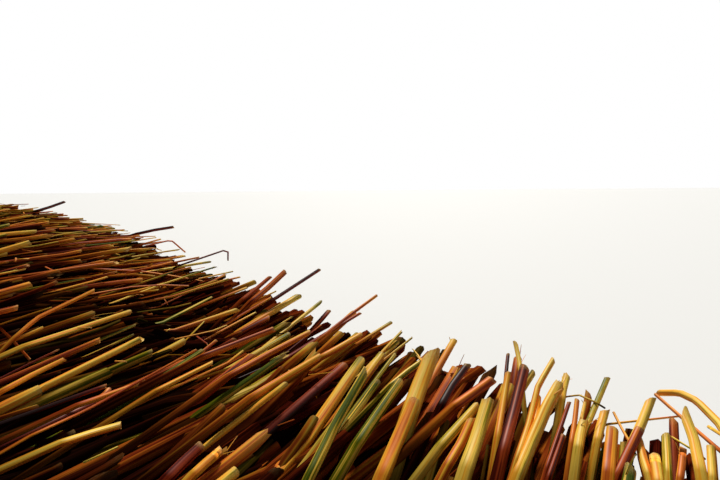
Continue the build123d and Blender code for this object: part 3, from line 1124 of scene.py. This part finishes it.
# %% Base sheaves, across the raft
BASE_HALF = 1.64
FLOOR = 0.0703
for number in range(1, 10):
    heap = Heap(300 + number)
    left = (number - 5) * TOP_WIDTH - TOP_WIDTH / 2 + 0.002
    width = TOP_WIDTH - 0.004
    outline = reed_backs(width, 1.0)
    x = left + outline[:, 0]
    height = arch(x) - FLOOR - 0.0003
    z = FLOOR + outline[:, 1] * height
    stations = [np.stack((x, np.full(len(x), y), z), 1) for y in (BASE_HALF, 0.0, -BASE_HALF)]
    add_body(heap, stations)
    high = float(max(arch(left), arch(left + width))) - FLOOR
    for way in (1, -1):
        corner = (left if way > 0 else left + width, way * BASE_HALF, FLOOR)
        add_stubs(heap, corner, (way, 0, 0), (0, 0, 1), (0, way, 0), (width, high),
                  (0.01, 0.19), roof=lambda x: arch(x) - FLOOR - 0.008)
    heap.piece(f"lower_reeds_{number}", reed_under, "reed_under", (f"base_sheaf_{number}",))

# %% Cross sheaves, bent along the raft
CROSS_WIDTH = 0.530
ARCH_HALF = asin(3.3 / ARCH_RADIUS)
for number in range(1, 7):
    heap = Heap(400 + number)
    rng = heap.rng
    left = (number - 3.5) * CROSS_WIDTH - CROSS_WIDTH / 2 + 0.002
    width = CROSS_WIDTH - 0.004
    outline = reed_backs(width, LAYER)
    stations = []
    for angle in np.linspace(ARCH_HALF, -ARCH_HALF, 13)[::-1]:
        reach = ARCH_RADIUS + outline[:, 1]
        stations.append(np.stack((
            reach * sin(angle), left + outline[:, 0], ARCH_CENTRE + reach * cos(angle)
        ), 1))
    add_body(heap, stations, 0.2, 0.6)
    for end in (1, -1):
        for _ in range(26):
            arc = (ARCH_HALF + rng.uniform(-0.006, 0.010)
                   - np.array((0.0, 0.003, 0.05, 0.10)) * rng.uniform(0.5, 0.9))
            reach = ARCH_RADIUS + LAYER + rng.uniform(-0.004, 0.006)
            y = left + rng.uniform(0.01, width - 0.01)
            y = y + rng.normal(0.0, 0.2) * (ARCH_HALF - arc)
            x, z = end * reach * np.sin(arc), ARCH_CENTRE + reach * np.cos(arc)
            add_reed(heap, np.stack((x, y, z), 1), rng.uniform(0.004, 0.009), FEWEST,
                     rng.uniform(0.05, 0.6), rng.uniform(0.1, 0.8), rng.uniform(0.1, 0.8),
                     0.3, sink=0.3, pale=0.7)
        angle = end * ARCH_HALF
        out = np.array((end * cos(angle), 0.0, -abs(sin(angle))))
        up = np.array((sin(angle), 0.0, cos(angle)))
        corner = (ARCH_RADIUS * sin(angle), left if end < 0 else left + width,
                  ARCH_CENTRE + ARCH_RADIUS * cos(angle))
        side = (0.0, -end, 0.0)
        add_stubs(heap, corner, side, up, out, (width, LAYER), (0.05, 0.31), droop=-0.03)
    heap.piece(f"middle_reeds_{number}", reed_under, "reed_under", (f"cross_sheaf_{number}",))

# %% [markdown]
# ## Root blocks
# The raft floats on blocks sawn from a mat of dead roots: brown, spongy and full of fibres. A
# block is a box of small faces, pushed in and out by noise for a torn look that bump alone
# wouldn't have, and roots hang out of its outer sides.

# %% Root mat finish
finish = Finish("root_mat")
place = finish.node("ShaderNodeTexCoord", output="Object")
fibre = finish.noise(finish.stretched(place, (60.0, 60.0, 9.0)), detail=5.0, rough=0.7)
clump = finish.noise(place, scale=9.0, detail=4.0)
brown = finish.ramp(0.6 * fibre + 0.4 * clump, (
    (0.25, (0.012, 0.006, 0.003)),
    (0.50, (0.070, 0.034, 0.015)),
    (0.72, (0.190, 0.105, 0.048)),
))
root_mat = finish.surface(
    {"Base Color": brown, "Roughness": 0.75 + 0.2 * clump}, bump=fibre, depth=0.006
)

# %% Bumps for rough surfaces
WAVES = 24


def noise_waves(points, seed, scale):
    """Smooth bumps from a sum of slanted waves, between about -1 and 1."""
    rng = np.random.default_rng(seed)
    total = np.zeros(len(points))
    for _ in range(WAVES):
        way = rng.normal(0.0, 1.0, 3) * scale
        total += np.sin(points @ way + rng.uniform(0.0, tau))
    return total / sqrt(WAVES)


print("bump at the middle:", noise_waves(np.zeros((1, 3)), 7, 22.0).round(3))

# %% Blocks
BLOCK_CELLS = (24, 22, 12)
BLOCK_EDGE = 0.06


def root_block(name, seed):
    """A block in the box of its CAD node: six rough faces with rounded edges, and roots."""
    low, high = np.array(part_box(name))
    middle, half = (low + high) / 2, (high - low) / 2
    heap = Heap(seed)
    rng = heap.rng
    for axis in range(3):
        first, second = (axis + 1) % 3, (axis + 2) % 3
        for way in (-1, 1):
            u = np.linspace(-1, 1, BLOCK_CELLS[first] + 1)
            v = np.linspace(-1, 1, BLOCK_CELLS[second] + 1)
            grid = np.zeros((len(u), len(v), 3))
            grid[..., first] = u[:, None]
            grid[..., second] = v[None, :]
            grid[..., axis] = way
            flat = grid.reshape(-1, 3) * half
            inner = half - BLOCK_EDGE
            core = np.clip(flat, -inner, inner)
            off = flat - core
            size = norm(off, axis=1)[:, None]
            points = core + off / np.maximum(size, 1e-9) * np.minimum(size, BLOCK_EDGE)
            rough = (0.012 * noise_waves(points + middle, 7, 22.0)
                     + 0.006 * noise_waves(points + middle, 8, 70.0))
            points = points * (1 - (0.012 + np.clip(rough, -0.011, 0.020))[:, None] / half)
            index = np.arange(len(points)).reshape(len(u), len(v))
            quads = grid_quads(index, flip=True)
            if way < 0:
                quads = quads[:, ::-1]
            world = points + middle
            heap.add(world, quads, NO_TRIS, 0.1, 0.3, 0.0, world)
    for _ in range(40):
        outer = int(rng.random() < 0.6 or abs(middle[0]) < 2.0)
        seat = middle + rng.uniform((-0.92, -0.92, -0.65), 0.92) * half
        seat[outer] = copysign(abs(middle[outer]) + half[outer] - 0.02, middle[outer])
        out = np.zeros(3)
        out[outer] = copysign(1.0, middle[outer])
        t = np.array((1.0, 0.55, 0.0))[:, None] * rng.uniform(0.04, 0.12)
        droop = (0.0, 0.0, -rng.uniform(2.0, 7.0))
        path = seat + (out + rng.normal(0.0, 0.5, 3) * (1.0, 1.0, 0.4)) * t + droop * t ** 2
        add_reed(heap, path, rng.uniform(0.0010, 0.0028), FEWEST, 0.1, 0.3, 0.5, 0.5,
                 taper=0.6)
    heap.piece(name.replace("root_block", "root_mat"), root_mat, "root_mat", (name,))


for column in range(1, 5):
    for side in ("back", "front"):
        root_block(f"root_block_{column}_{side}", 10 * column)

# %% [markdown]
# ## Mooring stakes
# Each corner is held by a round pole with a hewn point and a peeled head for a line. The pole
# is a stack of rings, and waves push its bark out of round.

# %% Stake wood
finish = Finish("stake_wood")
place = finish.node("ShaderNodeTexCoord", output="Object")
grain = finish.noise(finish.stretched(place, (120.0, 120.0, 4.0)), detail=4.0)
bark = finish.mark("tint")
wood = finish.ramp(grain, ((0.30, (0.20, 0.11, 0.05)), (0.70, (0.46, 0.31, 0.17))))
rind = finish.ramp(grain, ((0.35, (0.030, 0.018, 0.011)), (0.65, (0.130, 0.085, 0.052))))
stake_wood = finish.surface(
    {"Base Color": finish.blend(bark, wood, rind), "Roughness": 0.55 + 0.3 * grain},
    bump=grain, depth=0.003,
)

# %% Stakes
STAKE_RADIUS = 0.048
STAKE_SIDES = 28
HEAD_RADIUS = 0.042
HEAD_HEIGHT = 0.260
turn = np.arange(STAKE_SIDES) * tau / STAKE_SIDES
circle = np.stack((np.cos(turn), np.sin(turn), np.zeros(STAKE_SIDES)), 1)
for end in ("left", "right"):
    for side in ("back", "front"):
        name = f"mooring_stake_{end}_{side}"
        low, high = np.array(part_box(name))
        axis_x, axis_y = (low + high)[:2] / 2
        shoulder = high[2] - HEAD_HEIGHT
        pole = np.linspace(low[2] + 0.18, shoulder - 0.004, 24)
        head = np.linspace(shoulder + 0.03, high[2] - 0.006, 8)
        levels = (
            # height, radius, 1 for bark and 0 for peeled wood
            (low[2], 0.004, 1.0),
            *((low[2] + 0.15 * t, STAKE_RADIUS * t, 1.0) for t in (0.25, 0.5, 0.75, 1.0)),
            *((z, STAKE_RADIUS, 1.0) for z in pole),
            (shoulder, HEAD_RADIUS + 0.001, 1.0),
            (shoulder + 0.004, HEAD_RADIUS, 0.0),
            *((z, HEAD_RADIUS, 0.0) for z in head),
            (high[2], HEAD_RADIUS - 0.006, 0.0),
        )
        rings = []
        for z, radius, bark_here in levels:
            ring = circle * radius + (axis_x, axis_y, z)
            if bark_here and radius > 0.04:
                ring -= circle * (0.0015 + 0.0015 * noise_waves(ring, 3, 90.0))[:, None].clip(0)
            rings.append(ring)
        tints = np.repeat([bark_here for *_, bark_here in levels], STAKE_SIDES)
        heap = Heap()
        add_body(heap, rings, np.append(tints, (1.0, 0.0)))
        heap.piece(name.replace("mooring_stake", "stake"), stake_wood, "stake_wood", (name,))

# %% [markdown]
# ## Girth ropes
# Two laid ropes are drawn tight round all the blocks, below z = 0. A rope is three strands
# twisted together, so its section is a three-lobed figure that turns as it goes round.

# %% Rope fibre
finish = Finish("rope_fibre")
place = finish.mark("stem", "Vector")
strand = finish.noise(finish.stretched(place, (500.0, 500.0, 60.0)), detail=3.0)
straw = finish.ramp(strand, ((0.3, (0.10, 0.062, 0.030)), (0.7, (0.38, 0.26, 0.13))))
rope_fibre = finish.surface({"Base Color": straw, "Roughness": 0.8 + 0.1 * strand},
                            bump=strand, depth=0.001)

# %% Ropes
ROPE_RADIUS = 0.009
ROPE_CORNER = 0.079
ROPE_TWIST = 0.11
ROPE_SIDES = 9
for name in ("girth_rope_upper", "girth_rope_lower"):
    low, high = np.array(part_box(name))
    level = (low[2] + high[2]) / 2
    half = (high - low)[:2] / 2 - ROPE_RADIUS
    arc = np.linspace(0.0, pi / 2, 9)
    line = []
    for quarter, (sx, sy) in enumerate(((1, 1), (-1, 1), (-1, -1), (1, -1))):
        centre = np.array((sx * (half[0] - ROPE_CORNER), sy * (half[1] - ROPE_CORNER)))
        for angle in arc + quarter * pi / 2:
            line.append(centre + ROPE_CORNER * np.array((cos(angle), sin(angle))))
    line = np.array(line + line[:1])
    gone = run_of(line)
    steps = int(gone[-1] / 0.014)
    here = np.linspace(0.0, gone[-1], steps, endpoint=False)
    path = points_at(line, gone, here)
    way = unit(np.roll(path, -1, 0) - np.roll(path, 1, 0))
    out = np.stack((way[:, 1], -way[:, 0], np.zeros(steps)), 1)
    turn = np.arange(ROPE_SIDES) * tau / ROPE_SIDES
    twist = here * tau * round(gone[-1] / ROPE_TWIST) / gone[-1]
    angle = turn[None] + twist[:, None]
    radius = ROPE_RADIUS * (0.86 + 0.14 * np.cos(3 * turn))[None, :]
    offset = out[:, None] * np.cos(angle)[..., None] * radius[..., None]
    offset[..., 2] += np.sin(angle) * radius
    middle = np.column_stack((path, np.full(steps, level)))
    points = (middle[:, None] + offset).reshape(-1, 3)
    index = closed(np.arange(steps * ROPE_SIDES).reshape(steps, ROPE_SIDES))
    quads = grid_quads(closed(index.T).T)
    stem = np.stack((np.tile(np.cos(turn), steps) * ROPE_RADIUS,
                     np.tile(np.sin(turn), steps) * ROPE_RADIUS,
                     np.repeat(here, ROPE_SIDES)), 1)
    heap = Heap()
    heap.add(points, quads, NO_TRIS, 0.5, 0.0, 0.0, stem)
    heap.piece(name.replace("girth_rope", "rope"), rope_fibre, "rope_fibre", (name,))

print("triangles in all:", sum(totals))

# %% [markdown]
# ## Floor and light
# The stage is a plain pale floor at z = 0. One broad sun from beyond the front edge lights the
# reeds from behind, as in the photograph, and a dim world fills the shadows. Rays from the
# camera, and those that are mirrored or pass through, see a white world instead.

# %% Floor
finish = Finish("floor")
pale = finish.surface({"Base Color": (0.80, 0.82, 0.84, 1.0), "Roughness": 0.9})
bpy.ops.mesh.primitive_plane_add(size=1200.0)
floor = bpy.context.object
floor.name = "floor"
floor.data.materials.append(pale)

# %% World
scene.world = bpy.data.worlds.new("world")
surround = Finish("world", scene.world)
seen = surround.node("ShaderNodeLightPath", output="Is Camera Ray")
for kind in ("Is Glossy Ray", "Is Transmission Ray"):
    seen = seen.sum("MAXIMUM", seen, surround.node("ShaderNodeLightPath", output=kind))
dim = {"Color": (0.95, 0.97, 1.0, 1.0), "Strength": 0.18}
plain = surround.node("ShaderNodeBackground", {}, dim)
white = surround.node("ShaderNodeBackground", {}, {"Color": (1.0, 1.0, 1.0, 1.0)})
either = surround.node("ShaderNodeMixShader", {}, {0: seen, 1: plain, 2: white})
surround.node("ShaderNodeOutputWorld", {}, {"Surface": either})
print("the world has", len(surround.tree.nodes), "nodes")

# %% Sun
sun = bpy.data.objects.new("sun", bpy.data.lights.new("sun", "SUN"))
sun.data.energy = 4.2
sun.data.angle = radians(8.0)
sun.data.color = (1.0, 0.95, 0.86)
sun_from = Vector((-0.72, 0.70, 0.85))
sun.rotation_euler = sun_from.to_track_quat("Z", "Y").to_euler()
scene.collection.objects.link(sun)
scene.view_settings.view_transform = "Standard"
print("sun at", sun.data.energy, "and world at", dim["Strength"])
